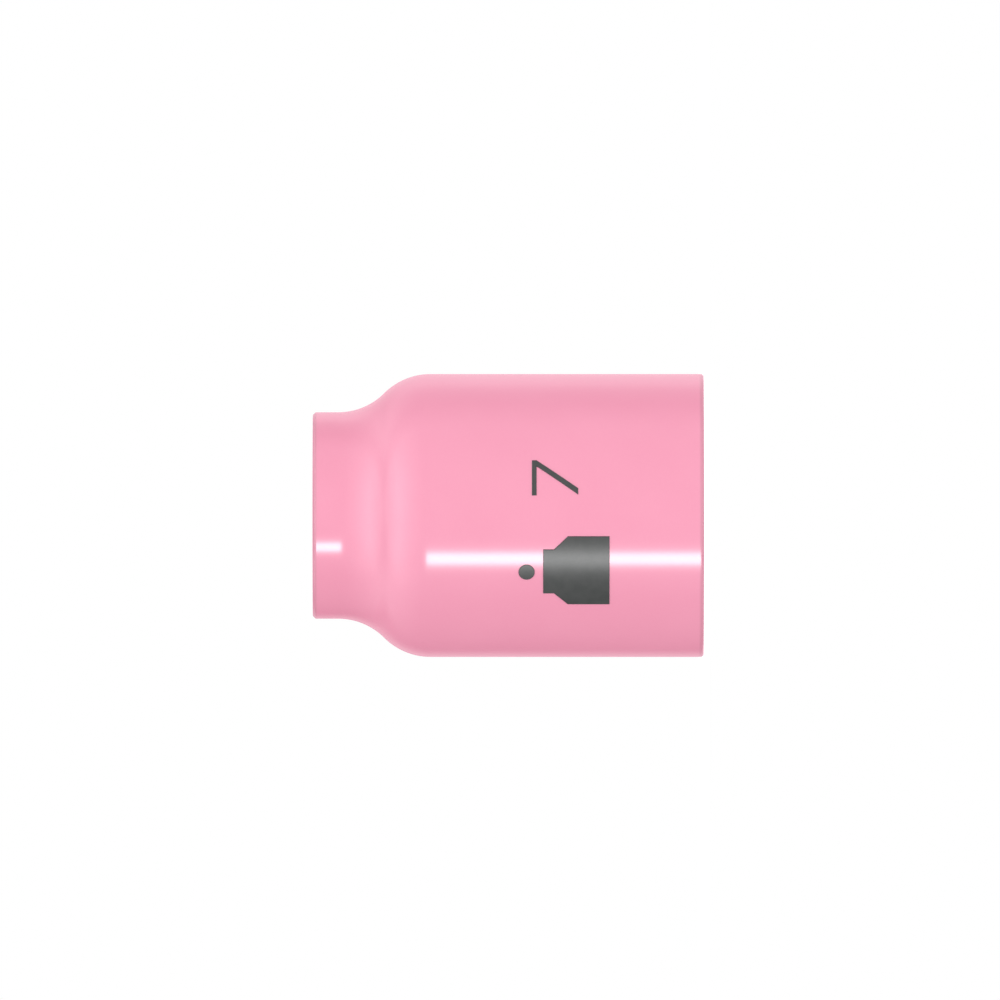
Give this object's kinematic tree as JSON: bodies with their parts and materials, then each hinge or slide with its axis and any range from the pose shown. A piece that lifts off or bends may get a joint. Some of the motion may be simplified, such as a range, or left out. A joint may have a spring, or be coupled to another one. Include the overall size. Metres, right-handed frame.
{
  "type": "tig torch nozzle",
  "caption": "Short wide ceramic gas nozzle for a TIG torch: plain round body, rounded shoulder, narrow mouth, threaded bore and printed size.",
  "frame": {"origin": "on the nozzle's axis, in the plane of the flat threaded end that it stands on", "axes": "+Z along the axis towards the mouth, where the gas leaves; the printed size and symbol face -Y and read upright with the mouth up"},
  "size_m": [0.0184, 0.0184, 0.0254],
  "materials": {
    "pink_alumina": "gloss",
    "fired_ink": "satin"
  },
  "bodies": {
    "root": {"ceramic_cup": "pink_alumina", "size_numeral": "fired_ink", "symbol_cup": "fired_ink", "symbol_tip": "fired_ink"}
  },
  "joints": []
}
